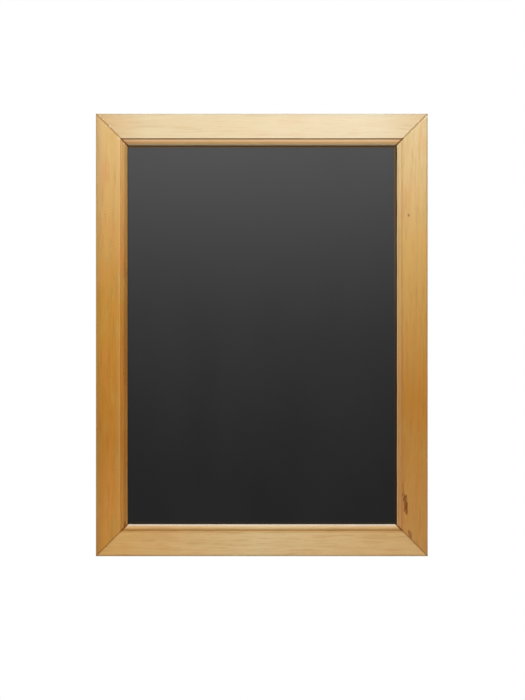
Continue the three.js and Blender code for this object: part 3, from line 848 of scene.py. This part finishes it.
def ringMesh():
    h = hanger
    half = h["ringWidth"] / 2
    side = h["ringHeight"] - half
    corner = h["corner"]
    butt = h["butt"] / 2
    line = [Vector((butt, 0)), Vector((butt + h["cutEase"], 0)), Vector((half / 3, 0))]
    line += arc((half - corner, corner), (corner, corner), -90, 0, 10)
    line += arc((0, side), (half, half), 0, 180, 40)
    line += arc((-half + corner, corner), (corner, corner), 180, 270, 10)
    line += [Vector((-half / 3, 0)), Vector((-butt - h["cutEase"], 0)), Vector((-butt, 0))]
    rings = []
    for i, here in enumerate(line):
        along = (line[min(i + 1, len(line) - 1)] - line[max(i - 1, 0)]).normalized()
        radius = h["wire"] / 2 - (h["cutEase"] if i in (0, len(line) - 1) else 0)
        ring = []
        for k in range(24):
            across = radius * math.cos(math.pi * k / 12)
            out = radius * math.sin(math.pi * k / 12)
            ring.append(((here.x - along.y * across) * mm, out * mm, (here.y + along.x * across) * mm))
        rings.append(ring)
    return loftMesh("ring", rings)


def strapMesh():
    h = hanger
    front = h["seat"] + h["steel"] / 2
    loop = h["pivotLift"] - front
    back = front + h["steel"] + h["fold"]
    neck = loop + h["neck"]
    offset = back + h["neck"] - front - loop
    drop = math.sqrt(neck ** 2 - offset ** 2)
    turn = math.degrees(math.atan2(-drop, offset))
    line = [Vector((front, -h["length"])), Vector((front, -h["length"] / 2))]
    line += arc((front + loop, 0), (loop, loop), 180, turn, 30)
    line += arc((back + h["neck"], -drop), (h["neck"], h["neck"]), turn + 180, 180, 8)[1:]
    line += [Vector((back, -h["length"] / 2)), Vector((back, -h["length"]))]
    half = h["width"] / 2
    lie = Matrix.Translation((-half * mm, 0, 0)) @ sideways
    sheet = prismMesh("sheet", stripOutline(line, h["steel"]), h["width"], lie)
    plan = [Vector((half, h["clearTop"])), Vector((-half, h["clearTop"]))]
    plan += arc((0, half - h["length"]), (half, half), 180, 360, 32)
    lie = Matrix.Translation((0, h["clearBack"] * mm, 0)) @ quarterTurn
    strap = carved(sheet, [prismMesh("plan", plan, h["clearDepth"], lie)], "INTERSECT")
    circles = [circle((0, -drop), h["hole"] / 2, 36) for drop in h["drops"].values()]
    return carved(strap, [prismMesh("hole", around, h["clearDepth"], lie) for around in circles])


def screwMesh():
    # one skin from the point, round the thread and over the head; y rises from the underside of the head
    s = screw
    around = 36
    turns = [2 * math.pi * i / around for i in range(around)]
    rings = []
    rows = round(s["length"] / s["pitch"] * 10)  # ten to each turn of the thread
    for j in range(rows + 1):
        depth = s["length"] * (1 - j / rows)
        taper = 0.1 + 0.9 * min(1, (s["length"] - depth) / s["tip"])  # the point is a tenth as thick
        started = min(1, depth / s["pitch"])  # the thread runs out below the head
        ring = []
        for a in turns:
            crest = abs((depth / s["pitch"] - a / (2 * math.pi)) % 1 - 0.5)
            thread = max(0, 1 - crest / s["threadWidth"]) * started
            radius = (s["core"] + (s["outer"] - s["core"]) * thread) / 2 * taper
            ring.append((radius * math.cos(a) * mm, -depth * mm, radius * math.sin(a) * mm))
        rings.append(ring)
    radius = s["head"] / 2
    rise = s["headHeight"] - s["rim"]
    dome = [(radius - s["headEase"], 0.0), (radius, s["headEase"]), (radius, s["rim"])]
    for k in range(1, 13):
        a = math.pi / 2 * k / 13
        dome.append((radius * math.cos(a) ** 0.7, s["rim"] + rise * math.sin(a) ** 0.9))
    dome.append((0.3, s["headHeight"]))
    rings += turned(dome, around)
    wings = []  # the recess, a cross that narrows downwards
    for turn in (0, math.pi / 2):
        levels = []
        for level, share in ((s["headHeight"] - s["recessDepth"], 0.45), (s["headHeight"] + 0.4, 1.08)):
            half = s["recess"] / 2 * share
            thin = s["recessWidth"] / 2 * (0.6 + 0.4 * share)
            levels.append([(u * mm, level * mm, w * mm) for u, w in rectangle(-half, -thin, half, thin)])
        wing = loftMesh("wing", levels)
        wing.transform(Matrix.Rotation(turn + s["recessTurn"], 4, "Y"))
        wings.append(wing)
    return carved(loftMesh("screw", rings), wings)


lean = math.asin((hanger["pivotLift"] - hanger["wire"] / 2 - hanger["stop"]) / hanger["ringHeight"])
underHead = (hanger["seat"] + 2 * hanger["steel"] + hanger["fold"] + hanger["headGap"]) * mm
for joint in frame["joints"]:
    hand = joint["name"].split("_")[0]
    axis = Vector(joint["pos_m"])
    foot = Matrix.Translation((axis.x, boardBack, axis.z))
    atAxis = Matrix.Translation(axis) @ Matrix.Rotation(lean, 4, "X")
    name = hand + "_hanger_ring"
    newPiece(hand + "_ring_wire", ringMesh(), zincSteel, joint["child"], name, atAxis)
    name = hand + "_hanger_strap"
    strap = newPiece(hand + "_strap_steel", strapMesh(), zincSteel, "board", name, foot)
    easeEdges(strap, hanger["eased"])
    for place, drop in hanger["drops"].items():
        turn = Matrix.Rotation(1.1 * axis.x * drop, 4, "Y")  # no two screws stop at the same angle
        at = foot @ Matrix.Translation((0, underHead, -drop * mm)) @ turn
        name = hand + "_hanger_screw_" + place
        newPiece(hand + "_pan_screw_" + place, screwMesh(), zincSteel, "board", name, at)
print("hangers made")

# Bumpers: tapered rubber feet with a parting line round the base and a dimple in the face
bumper = {"foot": 6.0, "base": 1.4, "face": 4.6, "round": 1.0, "dimple": 1.8, "dimpleDepth": 0.35}


def bumperMesh(height):
    foot, base, dimple, curve = (bumper[key] for key in ("foot", "base", "dimple", "round"))
    floor = height - bumper["dimpleDepth"]
    profile = [(foot - 0.25, 0.02), (foot - 0.05, 0.15), (foot - 0.05, base - 0.15)]
    profile += [(foot, base - 0.08), (foot, base + 0.08), (foot - 0.12, base + 0.2)]  # the parting line
    centre = (bumper["face"] - curve + 0.35, height - curve)
    profile += [tuple(at) for at in arc(centre, (curve, curve), 12, 90, 7)]
    profile += [(dimple + 0.5, height), (dimple + 0.2, height - 0.05)]
    profile += [(dimple - 0.3, height - 0.8 * bumper["dimpleDepth"]), (dimple / 2, floor), (0.2, floor)]
    return loftMesh("bumper", turned(profile, 48))


for name in sorted(cad):
    if name.startswith("bumper"):
        low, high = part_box(name)
        at = Matrix.Translation(((low.x + high.x) / 2, boardBack, (low.z + high.z) / 2))
        mesh = bumperMesh((high.y - boardBack) / mm)
        newPiece(name + "_foot", mesh, bumperRubber, "board", name, at)
print("bumpers made")

# Soft studio light: a wide softbox above in front, and one lamp for the back
lamps = {
    "softbox": {"at": (-0.06, -1.07, 0.54), "aim": (0, 0, -0.4), "size": (1.8, 1.14), "power": 23.8},
    "back": {"at": (1.6, 2.4, 1.2), "aim": (0, 0, -0.3), "size": (1.6, 1.6), "power": 30},
}
room = {
    "frontHigh": 0.15, "frontLow": 0.05,  # the dim room in front of the board, above and below
    "backdrop": 1.0, "backdropFill": 0.4,  # the white backdrop as gloss shows it and as it lights the rest
    "floorDrop": 1.05, "floorHalf": 3.0,  # metres; the floor lies below the board's bottom edge
    "floorLift": 0.45,  # how much paler the camera sees the floor than the lamps leave it
}


def addLamp(name, lamp):
    light = bpy.data.lights.new(name, "AREA")
    light.shape = "RECTANGLE"
    light.size, light.size_y = lamp["size"]
    light.energy = lamp["power"]
    placed = bpy.data.objects.new(name, light)
    placed.location = lamp["at"]
    placed.rotation_euler = (Vector(lamp["aim"]) - Vector(lamp["at"])).to_track_quat("-Z", "Y").to_euler()
    bpy.context.scene.collection.objects.link(placed)


def studioRoom():
    # a white backdrop behind the board, which the camera and gloss see, and a dim room in front of it
    world = bpy.data.worlds.new("studio room")
    world.use_nodes = True
    world.node_tree.nodes.clear()
    add = partial(addNode, world.node_tree)
    path = add("LightPath").outputs
    direction = add("TexCoord").outputs["Generated"]
    axes = add("SeparateXYZ", {0: direction}).outputs
    clear = add("Math", {0: path["Is Glossy Ray"], 1: path["Is Transmission Ray"]}, operation="MAXIMUM")
    behind = add("MapRange", {0: clear, 3: room["backdropFill"], 4: room["backdrop"]})
    front = add("MapRange", {0: axes[2], 1: -0.25, 2: 0.9, 3: room["frontLow"], 4: room["frontHigh"]})
    side = add("MapRange", {0: axes[1], 1: -0.15, 2: 0.15})
    level = add("Mix", {0: side, 2: front, 3: behind})
    level = add("Mix", {0: path["Is Camera Ray"], 2: level, 3: 1.0})
    sky = add("Background", {"Color": [1, 1, 1, 1], "Strength": level})
    add("OutputWorld", {"Surface": sky})
    bpy.context.scene.world = world


def paleFloor():
    material, add, p = newMaterial("white painted floor")
    roller = add("TexNoise", {"Vector": p, "Scale": 9.0 * mm, "Detail": 4.0})
    paint = add("ValToRGB", {0: roller}, stops=[(0.3, linear("#f0f0ee")), (0.7, linear("#f4f4f2"))])
    seen = add("LightPath").outputs["Is Camera Ray"]
    lift = add("Math", {0: seen, 1: room["floorLift"]}, operation="MULTIPLY")
    glow = {"Emission Color": [1, 1, 1, 1], "Emission Strength": lift}
    shader = add("BsdfPrincipled", {"Base Color": paint, "Roughness": 0.8, **glow})
    add("OutputMaterial", {"Surface": shader})
    half = room["floorHalf"]
    level = boardBottom - room["floorDrop"]
    shape = bmesh.new()
    shape.faces.new([shape.verts.new((x, y, level)) for x, y in rectangle(-half, -half, half, half)])
    mesh = bpy.data.meshes.new("floor")
    shape.to_mesh(mesh)
    shape.free()
    mesh.materials.append(material)
    floor = bpy.data.objects.new("floor", mesh)
    bpy.context.scene.collection.objects.link(floor)


for name, lamp in lamps.items():
    addLamp(name, lamp)
studioRoom()
paleFloor()
bpy.context.scene.view_settings.view_transform = "Standard"
print("lamps, room and floor placed")
